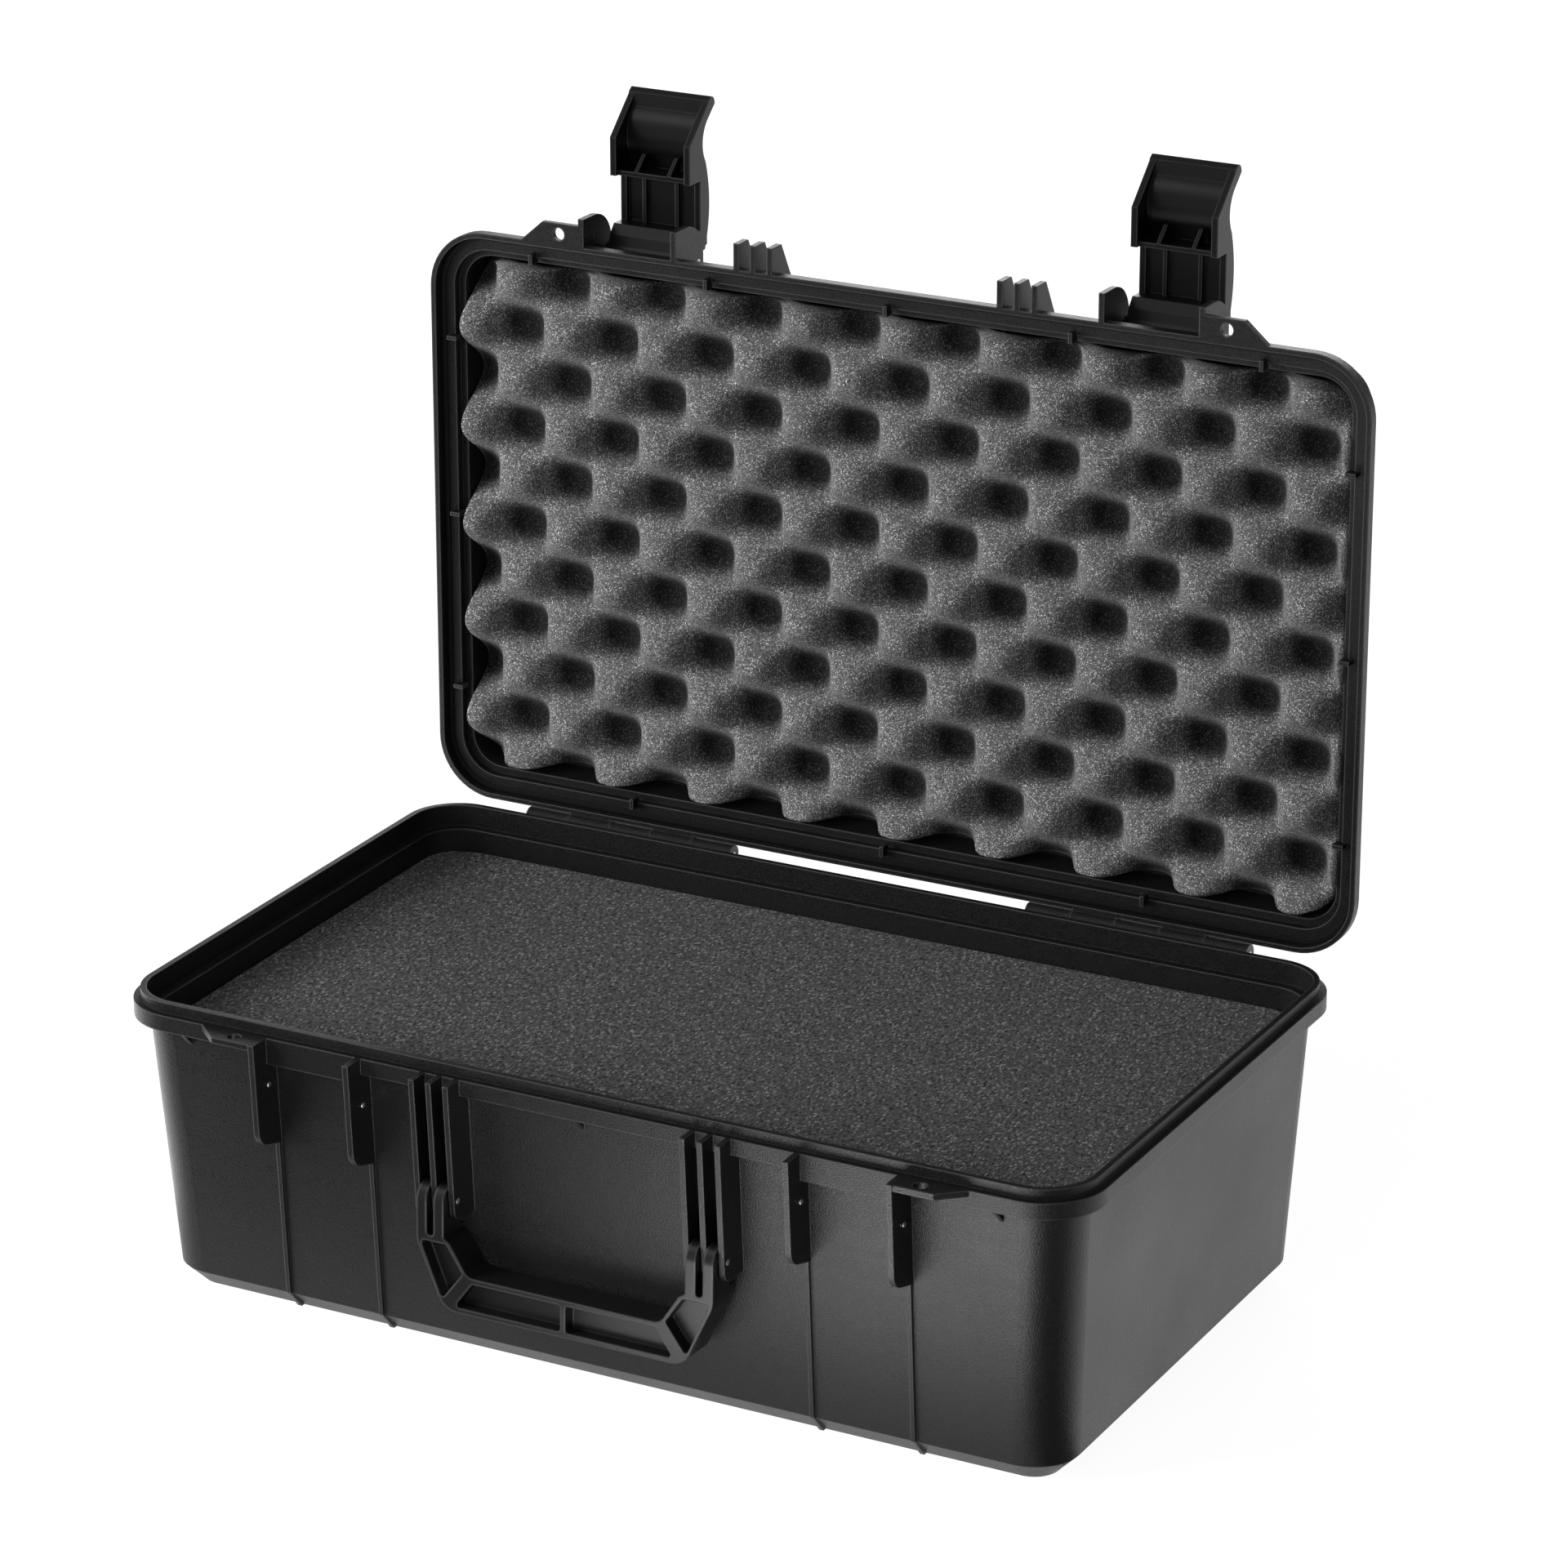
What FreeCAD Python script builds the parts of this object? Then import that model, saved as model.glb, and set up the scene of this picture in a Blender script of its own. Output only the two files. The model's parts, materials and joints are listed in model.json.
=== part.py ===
import FreeCAD
import Part
import Sketcher
import math
import os

# Driving sizes in millimetres and degrees
SIZES = {
    # Outline that both halves share
    "case_width": 500.0,
    "case_depth": 294.0,
    "case_corner": 30.0,
    "base_height": 146.0,
    "wall_draft": 3.2,
    "wall_thickness": 3.5,
    "floor_thickness": 3.5,
    "rim_gap": 0.4,
    "weld_depth": 2.0,
    # Base shell
    "base_overhang": 7.5,
    "base_flange": 8.0,
    "base_chamfer": 10.0,
    "lip_inset": 3.4,
    "lip_height": 5.1,
    "lip_thickness": 3.0,
    "ledge_drop": 6.0,
    # Lid shell
    "lid_depth": 31.0,
    "lid_overhang": 10.0,
    "lid_flange": 5.5,
    "lid_edge_radius": 6.0,
    "lid_top_thickness": 3.0,
    "recess_inset": 2.6,
    "recess_depth": 6.2,
    "step_depth": 10.5,
    "tab_thickness": 2.0,
    "tab_inset": 7.6,
    "tab_reach": 5.4,
    "tab_drop": 1.5,
    "tab_root": 1.0,
    "front_tab_spacing": 97.0,
    "hinge_tab_spacing": 140.0,
    "side_tab_spacing": 91.0,
    # Seal
    "seal_inset": 3.0,
    "seal_width": 2.0,
    "seal_height": 1.1,
    # Hinge
    "hinge_offset": 5.35,
    "hinge_start": 80.8,
    "knuckle_radius": 5.0,
    "knuckle_pitch": 23.4,
    "knuckle_gap": 0.4,
    "hinge_pin_radius": 1.6,
    "lid_open_angle": 90.7,
    # Ears that carry the latches
    "latch_spacing": 278.0,
    "ear_gap": 48.0,
    "ear_thickness": 3.0,
    "base_ear_reach": 11.0,
    "base_ear_drop": 51.0,
    "base_ear_slope": 6.0,
    "base_ear_corner": 9.0,
    "lid_ear_reach": 14.1,
    "lid_ear_height": 27.5,
    "lid_ear_corner": 16.2,
    "keeper_height": 13.0,
    "wall_rib_thickness": 2.2,
    "wall_rib_reach": 1.6,
    "wall_rib_foot": 2.5,
    "ear_pin_radius": 1.3,
    "ear_pin_stand": 0.4,
    "ear_pin_inset": 1.1,
    "ear_pin_drop": 23.5,
    # Padlock lugs
    "lug_thickness": 3.0,
    "lug_reach": 10.5,
    "lug_flat_end": 186.0,
    "lug_root_end": 198.0,
    "lug_hole_place": 177.0,
    "lug_hole_reach": 5.1,
    "lug_hole_radius": 3.2,
    # Gussets below the flange of the base
    "gusset_thickness": 2.0,
    "gusset_drop": 9.5,
    "gusset_inset": 0.8,
    "front_gusset_spacing": 210.0,
    "side_gusset_spacing": 98.0,
    # Ribs that carry the handle, and the fins above them
    "rib_place": 70.0,
    "rib_pitch": 9.0,
    "rib_thickness": 2.8,
    "rib_reach": 10.0,
    "rib_drop": 69.0,
    "rib_corner": 6.0,
    "fin_thickness": 3.0,
    "fin_reach": 13.0,
    "fin_flat": 9.6,
    "fin_root": 23.5,
    # Handle
    "handle_pin_reach": 3.3,
    "handle_pin_drop": 58.8,
    "handle_pin_radius": 1.5,
    "prong_gap": 0.5,
    "prong_radius": 7.7,
    "handle_front": 7.7,
    "handle_back": 11.0,
    "handle_hang": 2.5,
    "arm_drop": 16.5,
    "arm_shoulder": 20.0,
    "arm_shoulder_radius": 14.0,
    "arm_inner": 62.9,
    "arm_ledge_width": 3.4,
    "arm_ledge_drop": 2.2,
    "grip_drop": 51.7,
    "grip_height": 18.4,
    "grip_outer_half": 62.5,
    "grip_inner_half": 50.2,
    "grip_outer_radius": 10.0,
    "grip_inner_radius": 6.0,
    "grip_wall": 2.6,
    "grip_pocket": 7.0,
    "grip_pocket_radius": 1.5,
    "running_gap": 0.05,
    # Latches
    "latch_width": 44.0,
    "latch_hub_width": 46.8,
    "latch_hub_radius": 4.0,
    "latch_pin_radius": 1.5,
    "latch_pivot_inset": 5.8,
    "latch_pivot_depth": 22.8,
    "latch_skin": 2.6,
    "latch_side": 3.2,
    "belly_start": 2.0,
    "belly_rise": 15.5,
    "belly_length": 43.8,
    "belly_radius": 62.0,
    "thumb_rise": 16.4,
    "thumb_length": 20.7,
    "thumb_radius": 15.5,
    "nose_rise": 19.3,
    "nose_length": 5.8,
    "nose_height": 6.5,
    "nose_radius": 4.0,
    "nose_thickness": 4.3,
    "nose_drop": 3.8,
    "wall_edge_rise": 0.4,
    "wall_edge_length": 19.0,
    "rail_rise": 10.8,
    "panel_rise": 13.0,
    "panel_top": 17.6,
    "foot_front": 8.0,
    "foot_top": 12.5,
    "foot_nib": 3.5,
    "hook_gap": 0.8,
    "hook_thickness": 2.4,
    "hook_rise": 2.6,
    "latch_rib_spacing": 18.0,
    "latch_rib_thickness": 2.0,
    "latch_gusset_length": 7.5,
    # Foam
    "foam_drop": 17.0,
    "foam_gap": 0.2,
    "upper_foam_thickness": 50.0,
    "lower_foam_thickness": 50.0,
    "lid_foam_side_inset": 15.0,
    "lid_foam_end_inset": 18.0,
    "lid_foam_corner": 14.0,
    "lid_foam_middle": 13.0,
    "lid_foam_wave": 11.5,
    "lid_foam_wave_width": 26.5,
    "lid_foam_wave_length": 25.45,
    "lid_foam_shift_across": 5.5,
    "lid_foam_shift_along": 4.0,
}

# Numbers of repeated forms
KNUCKLES = 5
STEPS_PER_WAVE = 4

# Angles of the bottom edge, in degrees
CHAMFER_ANGLE = 45
MITRE_ANGLE = CHAMFER_ANGLE / 2


class Size:
    """A length with its value and the expression that drives it."""

    def __init__(self, value, text):
        self.value = value
        self.text = text

    def __add__(self, other):
        other = as_size(other)
        return Size(self.value + other.value, "(" + self.text + " + " + other.text + ")")

    def __sub__(self, other):
        other = as_size(other)
        return Size(self.value - other.value, "(" + self.text + " - " + other.text + ")")

    def __mul__(self, other):
        other = as_size(other)
        return Size(self.value * other.value, "(" + self.text + " * " + other.text + ")")

    def __truediv__(self, other):
        other = as_size(other)
        return Size(self.value / other.value, "(" + self.text + " / " + other.text + ")")

    def __neg__(self):
        return Size(-self.value, "(0 - " + self.text + ")")


def as_size(number):
    if isinstance(number, Size):
        return number
    return Size(float(number), str(number))


def tangent(angle):
    return Size(math.tan(math.radians(angle.value)), "tan(" + angle.text + ")")


document = FreeCAD.newDocument("ProtectiveCase")
sheet = document.addObject("Spreadsheet::Sheet", "Sizes")
for row, (name, number) in enumerate(SIZES.items(), start=1):
    sheet.set("A" + str(row), name)
    sheet.set("B" + str(row), str(number))
    sheet.setAlias("B" + str(row), name)
document.recompute()


def size(name):
    return Size(float(sheet.get(name)), "Sizes." + name)


ZERO = as_size(0)
SIDES = (-1, 1)


# Helpers that draw bound sketches
def new_body(label):
    body = document.addObject("PartDesign::Body", label)
    body.Label = label
    return body


def new_sketch(body, name, role, offset):
    sketch = body.newObject("Sketcher::SketchObject", name)
    plane = [item for item in body.Origin.OriginFeatures if item.Role == role][0]
    sketch.AttachmentSupport = [(plane, "")]
    sketch.MapMode = "FlatFace"
    sketch.setExpression("AttachmentOffset.Base.z", offset.text)
    return sketch


def bind(sketch, constraint, length):
    index = sketch.addConstraint(constraint)
    sketch.setExpression("Constraints[" + str(index) + "]", length.text)


def pin_point(sketch, geometry, end, across, up):
    if across is ZERO:
        sketch.addConstraint(Sketcher.Constraint("PointOnObject", geometry, end, -2))
    else:
        bind(sketch, Sketcher.Constraint("DistanceX", -1, 1, geometry, end, across.value), across)
    if up is ZERO:
        sketch.addConstraint(Sketcher.Constraint("PointOnObject", geometry, end, -1))
    else:
        bind(sketch, Sketcher.Constraint("DistanceY", -1, 1, geometry, end, up.value), up)


def arc_between(centre, radius, begin, finish, turns_left):
    first = begin if turns_left else finish
    last = finish if turns_left else begin
    start_angle = math.atan2(first.y - centre.y, first.x - centre.x)
    end_angle = math.atan2(last.y - centre.y, last.x - centre.x)
    if end_angle < start_angle:
        end_angle += 2 * math.pi
    circle = Part.Circle(centre, FreeCAD.Vector(0, 0, 1), radius)
    return Part.ArcOfCircle(circle, start_angle, end_angle)


def rounding(here, back_point, next_point, radius):
    back = (back_point - here).normalize()
    ahead = (next_point - here).normalize()
    half = back.getAngle(ahead) / 2
    reach = radius / math.tan(half)
    middle = (back + ahead).normalize()
    centre = here + middle * (radius / math.sin(half))
    turns_left = back.cross(ahead).z < 0
    return here + back * reach, here + ahead * reach, centre, turns_left


def draw_outline(sketch, corners):
    """Closed outline. A corner is (across, up), with "round" and a radius where it is rounded,
    or with "bow" and a radius where the edge after it is an arc (negative turns right)."""
    points = [FreeCAD.Vector(corner[0].value, corner[1].value, 0) for corner in corners]
    count = len(corners)
    arrive = list(points)
    leave = list(points)
    rounds = {}
    for i, corner in enumerate(corners):
        if len(corner) > 2 and corner[2] == "round":
            follow = points[(i + 1) % count]
            found = rounding(points[i], points[i - 1], follow, corner[3].value)
            arrive[i] = found[0]
            leave[i] = found[1]
            rounds[i] = found
    edges = []
    for i, corner in enumerate(corners):
        begin = leave[i]
        finish = arrive[(i + 1) % count]
        if len(corner) > 2 and corner[2] == "bow":
            radius = corner[3].value
            chord = finish - begin
            rise = math.sqrt(radius * radius - chord.Length * chord.Length / 4)
            left = FreeCAD.Vector(-chord.y, chord.x, 0).normalize()
            centre = (begin + finish) * 0.5 + left * math.copysign(rise, radius)
            arc = arc_between(centre, abs(radius), begin, finish, radius > 0)
            index = sketch.addGeometry(arc, False)
            edges.append((index, 1, 2) if radius > 0 else (index, 2, 1))
            length = corner[3] if radius > 0 else -corner[3]
            bind(sketch, Sketcher.Constraint("Radius", index, abs(radius)), length)
        else:
            index = sketch.addGeometry(Part.LineSegment(begin, finish), False)
            edges.append((index, 1, 2))
    for i, corner in enumerate(corners):
        before = edges[i - 1]
        after = edges[i]
        if i not in rounds:
            sketch.addConstraint(
                Sketcher.Constraint("Coincident", before[0], before[2], after[0], after[1]))
            pin_point(sketch, after[0], after[1], corner[0], corner[1])
            continue
        begin, finish, centre, turns_left = rounds[i]
        radius = corner[3]
        arc = sketch.addGeometry(arc_between(centre, radius.value, begin, finish, turns_left), False)
        first, last = (1, 2) if turns_left else (2, 1)
        sketch.addConstraint(Sketcher.Constraint("Tangent", before[0], before[2], arc, first))
        sketch.addConstraint(Sketcher.Constraint("Tangent", arc, last, after[0], after[1]))
        bind(sketch, Sketcher.Constraint("Radius", arc, radius.value), radius)
        mark = sketch.addGeometry(Part.Point(points[i]), True)
        sketch.addConstraint(Sketcher.Constraint("PointOnObject", mark, 1, before[0]))
        sketch.addConstraint(Sketcher.Constraint("PointOnObject", mark, 1, after[0]))
        pin_point(sketch, mark, 1, corner[0], corner[1])


def draw_circle(sketch, across, up, radius):
    place = FreeCAD.Vector(across.value, up.value, 0)
    circle = Part.Circle(place, FreeCAD.Vector(0, 0, 1), radius.value)
    index = sketch.addGeometry(circle, False)
    bind(sketch, Sketcher.Constraint("Radius", index, radius.value), radius)
    pin_point(sketch, index, 3, across, up)


def draw_rectangle(sketch, left, right, low, high):
    draw_outline(sketch, [(left, low), (right, low), (right, high), (left, high)])


def draw_rounded(sketch, half_across, half_up, radius):
    draw_outline(sketch, [
        (-half_across, -half_up, "round", radius),
        (half_across, -half_up, "round", radius),
        (half_across, half_up, "round", radius),
        (-half_across, half_up, "round", radius),
    ])


# Helpers that add features to a body
def pad(body, sketch, length, down=False, taper=None):
    feature = body.newObject("PartDesign::Pad", sketch.Name + "_pad")
    feature.Profile = sketch
    feature.setExpression("Length", length.text)
    feature.Reversed = down
    if taper is not None:
        feature.setExpression("TaperAngle", (-taper).text)
    sketch.Visibility = False
    return feature


def pocket(body, sketch, length, forward=False, taper=None):
    feature = body.newObject("PartDesign::Pocket", sketch.Name + "_pocket")
    feature.Profile = sketch
    feature.setExpression("Length", length.text)
    feature.Reversed = forward
    if taper is not None:
        feature.setExpression("TaperAngle", (-taper).text)
    sketch.Visibility = False
    return feature


def loft(body, name, upper, lower, cut=False):
    kind = "PartDesign::SubtractiveLoft" if cut else "PartDesign::AdditiveLoft"
    feature = body.newObject(kind, name)
    feature.Profile = upper
    feature.Sections = [lower]
    feature.Ruled = True
    upper.Visibility = False
    lower.Visibility = False
    return feature


def plate(body, name, start, thickness, corners):
    """A plate across the width, drawn in the depth and height plane."""
    sketch = new_sketch(body, name, "YZ_Plane", start)
    draw_outline(sketch, corners)
    return pad(body, sketch, thickness)


def rod(body, name, start, length, depth, height, radius):
    sketch = new_sketch(body, name, "YZ_Plane", start)
    draw_circle(sketch, depth, height, radius)
    return pad(body, sketch, length)


def bore(body, name, start, length, depth, height, radius):
    sketch = new_sketch(body, name, "YZ_Plane", start)
    draw_circle(sketch, depth, height, radius)
    return pocket(body, sketch, length, forward=True)


def level_edges(feature, height):
    names = []
    for number, edge in enumerate(feature.Shape.Edges, start=1):
        box = edge.BoundBox
        if abs(box.ZMin - height.value) < 0.01 and abs(box.ZMax - height.value) < 0.01:
            names.append("Edge" + str(number))
    return names


def fillet(body, name, feature, edges, radius):
    result = body.newObject("PartDesign::Fillet", name)
    result.Base = (feature, edges)
    result.setExpression("Radius", radius.text)
    return result


# Shared places
mitre = tangent(as_size(MITRE_ANGLE))
half_width = size("case_width") / 2
half_depth = size("case_depth") / 2
slope = tangent(size("wall_draft"))
weld = size("weld_depth")
base_top = size("base_height")
flange_under = base_top - size("base_flange")
ledge_level = base_top - size("ledge_drop")
rim_plane = base_top + size("rim_gap")
lid_top = rim_plane + size("lid_depth")
hinge_depth = half_depth + size("hinge_offset")
hinge_height = base_top + size("rim_gap") / 2
latch_place = size("latch_spacing") / 2
ear_start = size("ear_gap") / 2
pivot_depth = half_depth - size("latch_pivot_inset")
pivot_height = rim_plane + size("latch_pivot_depth")
ear_pin_depth = half_depth - size("ear_pin_inset")
ear_pin_height = base_top - size("ear_pin_drop")
handle_pin_depth = half_depth + size("handle_pin_reach")
handle_pin_height = base_top - size("handle_pin_drop")
hinge_length = size("knuckle_pitch") * KNUCKLES
overshoot = size("weld_depth")
chamfer = size("base_chamfer")
inner_crease = chamfer + size("wall_thickness") * mitre
wall_corner = size("case_corner") - size("base_overhang")
cavity_corner = wall_corner - size("wall_thickness")


def wall_depth(height):
    return half_depth - size("base_overhang") - (flange_under - height) * slope


def wall_width(height):
    return half_width - size("base_overhang") - (flange_under - height) * slope


def cavity_inset(height):
    return size("base_overhang") + size("wall_thickness") + (ledge_level - height) * slope


def cavity_outline(body, name, height, gap):
    """Inside of the base walls at a height, moved in by a gap."""
    outline = new_sketch(body, name, "XY_Plane", height)
    inset = cavity_inset(height) + gap
    draw_rounded(outline, half_width - inset, half_depth - inset, cavity_corner - gap)
    return outline


def mirrored_start(side, start, length):
    """Low end of a form that starts this far from the middle plane."""
    return start if side > 0 else -(start + length)


def knuckle_places(numbers):
    for side in SIDES:
        for number in numbers:
            length = size("knuckle_pitch") - size("knuckle_gap")
            start = size("hinge_start") + size("knuckle_pitch") * number + size("knuckle_gap") / 2
            yield side, number, mirrored_start(side, start, length), length


def name_of(word, *numbers):
    return word + "".join("_" + str(number).replace("-", "n") for number in numbers)


def ear_places():
    """Low end of each of the two ears at each latch."""
    for side in SIDES:
        for edge in SIDES:
            middle = latch_place * side
            start = ear_start if edge > 0 else -(ear_start + size("ear_thickness"))
            yield side, edge, middle + start


def lug_corners(side):
    inner = latch_place + ear_start + size("ear_thickness") - weld
    reach = half_depth + size("lug_reach")
    return [
        (inner * side, -(half_depth - weld)),
        (size("lug_root_end") * side, -(half_depth - weld)),
        (size("lug_root_end") * side, -half_depth),
        (size("lug_flat_end") * side, -reach),
        (inner * side, -reach),
    ]


def add_lugs(body, level):
    for side in SIDES:
        sketch = new_sketch(body, name_of("lug", side), "XY_Plane", level)
        draw_outline(sketch, lug_corners(side))
        pad(body, sketch, size("lug_thickness"))


def add_lug_holes(body, level):
    for side in SIDES:
        sketch = new_sketch(body, name_of("lug_hole", side), "XY_Plane", level - overshoot)
        place = size("lug_hole_place") * side
        draw_circle(sketch, place, -(half_depth + size("lug_hole_reach")), size("lug_hole_radius"))
        pocket(body, sketch, size("lug_thickness") + overshoot * 2, forward=True)


# Base shell
base = new_body("base_shell")
upper = new_sketch(base, "base_wall_top", "XY_Plane", flange_under)
draw_rounded(upper, wall_width(flange_under), wall_depth(flange_under), wall_corner)
lower = new_sketch(base, "base_wall_crease", "XY_Plane", chamfer)
draw_rounded(lower, wall_width(chamfer), wall_depth(chamfer), wall_corner)
loft(base, "base_walls", upper, lower)

sketch = new_sketch(base, "base_bottom", "XY_Plane", chamfer)
draw_rounded(sketch, wall_width(chamfer), wall_depth(chamfer), wall_corner)
pad(base, sketch, chamfer, down=True, taper=as_size(CHAMFER_ANGLE))

sketch = new_sketch(base, "base_flange_outline", "XY_Plane", flange_under)
draw_rounded(sketch, half_width, half_depth, size("case_corner"))
pad(base, sketch, size("base_flange"))

sketch = new_sketch(base, "lip", "XY_Plane", base_top)
draw_rounded(sketch, half_width - size("lip_inset"), half_depth - size("lip_inset"),
             size("case_corner") - size("lip_inset"))
pad(base, sketch, size("lip_height"))

ear_foot = base_top - size("base_ear_drop")
ear_root = ear_foot - size("base_ear_slope")
ear_front = half_depth + size("base_ear_reach")
foot_edge = wall_depth(chamfer) - chamfer
for side, edge, start in ear_places():
    plate(base, name_of("ear", side, edge), start, size("ear_thickness"), [
        (-ear_front, base_top),
        (-(ear_front - size("base_ear_drop") * slope), ear_foot, "round", size("base_ear_corner")),
        (-(wall_depth(ear_root) - weld), ear_root),
        (-(wall_depth(flange_under) - weld), base_top),
    ])
    rib_start = start + (size("ear_thickness") - size("wall_rib_thickness")) / 2
    plate(base, name_of("wall_rib", side, edge), rib_start, size("wall_rib_thickness"), [
        (-(wall_depth(ear_foot) + size("wall_rib_reach")), ear_foot),
        (-(wall_depth(chamfer) + size("wall_rib_reach")), chamfer + size("wall_rib_reach") * mitre),
        (-(foot_edge + size("wall_rib_reach") * (mitre + 1)), ZERO),
        (-(foot_edge - size("wall_rib_foot")), ZERO),
        (-(wall_depth(ear_foot) - weld), ear_foot),
    ])

keeper_under = base_top - size("keeper_height")
for side in SIDES:
    start = latch_place * side - ear_start - weld
    plate(base, name_of("keeper", side), start, size("ear_gap") + weld * 2, [
        (-half_depth, base_top),
        (-half_depth, keeper_under),
        (-(wall_depth(keeper_under) - weld), keeper_under),
        (-(wall_depth(flange_under) - weld), base_top),
    ])

rib_front = half_depth + size("rib_reach")
rib_foot = base_top - size("rib_drop")
for side in SIDES:
    for number in (-1, 0, 1):
        middle = (size("rib_place") + size("rib_pitch") * number) * side
        start = middle - size("rib_thickness") / 2
        plate(base, name_of("handle_rib", side, number), start, size("rib_thickness"), [
            (-rib_front, base_top),
            (-(rib_front - size("rib_drop") * slope), rib_foot, "round", size("rib_corner")),
            (-(wall_depth(rib_foot) - weld), rib_foot),
            (-(wall_depth(flange_under) - weld), base_top),
        ])

gusset_foot = flange_under - size("gusset_drop")
for number in (-1, 0, 1):
    start = size("front_gusset_spacing") * number - size("gusset_thickness") / 2
    plate(base, name_of("front_gusset", number), start, size("gusset_thickness"), [
        (-(half_depth - size("gusset_inset")), flange_under + weld),
        (-(half_depth - size("gusset_inset")), flange_under),
        (-(wall_depth(gusset_foot) - weld), gusset_foot),
        (-(wall_depth(gusset_foot) - weld), flange_under + weld),
    ])
for side in SIDES:
    for end in SIDES:
        middle = size("side_gusset_spacing") * end
        start = -(middle + size("gusset_thickness") / 2)
        sketch = new_sketch(base, name_of("side_gusset", side, end), "XZ_Plane", start)
        draw_outline(sketch, [
            ((half_width - size("gusset_inset")) * side, flange_under + weld),
            ((half_width - size("gusset_inset")) * side, flange_under),
            ((wall_width(gusset_foot) - weld) * side, gusset_foot),
            ((wall_width(gusset_foot) - weld) * side, flange_under + weld),
        ])
        pad(base, sketch, size("gusset_thickness"))

add_lugs(base, base_top - size("lug_thickness"))

for side, number, start, length in knuckle_places((0, 2, 4)):
    plate(base, name_of("base_knuckle", side, number), start, length, [
        (half_depth - weld, base_top),
        (half_depth - weld, flange_under),
        (hinge_depth, hinge_height - size("knuckle_radius"), "bow", size("knuckle_radius")),
        (hinge_depth + size("knuckle_radius"), hinge_height, "bow", size("knuckle_radius")),
        (hinge_depth, hinge_height + size("knuckle_radius"), "bow", size("knuckle_radius")),
        (hinge_depth - size("knuckle_radius"), hinge_height),
    ])

sketch = new_sketch(base, "base_mouth", "XY_Plane", base_top + size("lip_height"))
mouth = size("lip_inset") + size("lip_thickness")
draw_rounded(sketch, half_width - mouth, half_depth - mouth, size("case_corner") - mouth)
pocket(base, sketch, size("lip_height") + size("ledge_drop"))

upper = cavity_outline(base, "cavity_top", ledge_level, ZERO)
lower = cavity_outline(base, "cavity_crease", inner_crease, ZERO)
loft(base, "base_cavity", upper, lower, cut=True)
sketch = cavity_outline(base, "cavity_bottom", inner_crease, ZERO)
pocket(base, sketch, inner_crease - size("floor_thickness"), taper=as_size(CHAMFER_ANGLE))

for side in SIDES:
    start = mirrored_start(side, size("hinge_start") - overshoot, hinge_length + overshoot * 2)
    bore(base, name_of("base_hinge_bore", side), start, hinge_length + overshoot * 2,
         hinge_depth, hinge_height, size("hinge_pin_radius"))
    ear_span = size("ear_gap") + size("ear_thickness") * 2 + overshoot * 2
    bore(base, name_of("ear_pin_bore", side), latch_place * side - ear_span / 2, ear_span,
         -ear_pin_depth, ear_pin_height, size("ear_pin_radius"))
    rib_span = size("rib_pitch") * 2 + size("rib_thickness")
    start = size("rib_place") * side - rib_span / 2 - overshoot
    bore(base, name_of("rib_bore", side), start, rib_span + overshoot * 2,
         -handle_pin_depth, handle_pin_height, size("handle_pin_radius"))
add_lug_holes(base, base_top - size("lug_thickness"))

# Lid shell, drawn closed
lid = new_body("lid_shell")
sketch = new_sketch(lid, "lid_flange_outline", "XY_Plane", rim_plane)
draw_rounded(sketch, half_width, half_depth, size("case_corner"))
pad(lid, sketch, size("lid_flange"))

shoulder_level = rim_plane + size("lid_flange")
crown_level = shoulder_level + size("lid_overhang")
sketch = new_sketch(lid, "lid_shoulder", "XY_Plane", shoulder_level)
draw_rounded(sketch, half_width, half_depth, size("case_corner"))
pad(lid, sketch, size("lid_overhang"), taper=as_size(CHAMFER_ANGLE))

sketch = new_sketch(lid, "lid_crown", "XY_Plane", crown_level)
draw_rounded(sketch, half_width - size("lid_overhang"), half_depth - size("lid_overhang"),
             size("case_corner") - size("lid_overhang"))
crown = pad(lid, sketch, lid_top - crown_level, taper=size("wall_draft"))
document.recompute()
fillet(lid, "lid_top_edge", crown, level_edges(crown, lid_top), size("lid_edge_radius"))

lid_root = half_depth - size("lid_overhang") - weld
for side, edge, start in ear_places():
    reach = half_depth + size("lid_ear_reach")
    top = rim_plane + size("lid_ear_height")
    plate(lid, name_of("lid_ear", side, edge), start, size("ear_thickness"), [
        (-lid_root, rim_plane),
        (-lid_root, top),
        (-reach, top, "round", size("lid_ear_corner")),
        (-reach, rim_plane),
    ])
for side in SIDES:
    for number in (-1, 0, 1):
        middle = (size("rib_place") + size("rib_pitch") * number) * side
        reach = half_depth + size("fin_reach")
        start = middle - size("fin_thickness") / 2
        plate(lid, name_of("lid_fin", side, number), start, size("fin_thickness"), [
            (-lid_root, rim_plane),
            (-lid_root, rim_plane + size("fin_root")),
            (-reach, rim_plane + size("fin_flat")),
            (-reach, rim_plane),
        ])

add_lugs(lid, rim_plane)

for side, number, start, length in knuckle_places((1, 3)):
    plate(lid, name_of("lid_knuckle", side, number), start, length, [
        (half_depth - weld, rim_plane),
        (hinge_depth - size("knuckle_radius"), hinge_height, "bow", size("knuckle_radius")),
        (hinge_depth, hinge_height - size("knuckle_radius"), "bow", size("knuckle_radius")),
        (hinge_depth + size("knuckle_radius"), hinge_height, "bow", size("knuckle_radius")),
        (hinge_depth, hinge_height + size("knuckle_radius")),
        (half_depth - weld, shoulder_level),
    ])

sketch = new_sketch(lid, "lid_recess", "XY_Plane", rim_plane)
inset = size("recess_inset")
draw_rounded(sketch, half_width - inset, half_depth - inset, size("case_corner") - inset)
pocket(lid, sketch, size("recess_depth"), forward=True)

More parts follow.
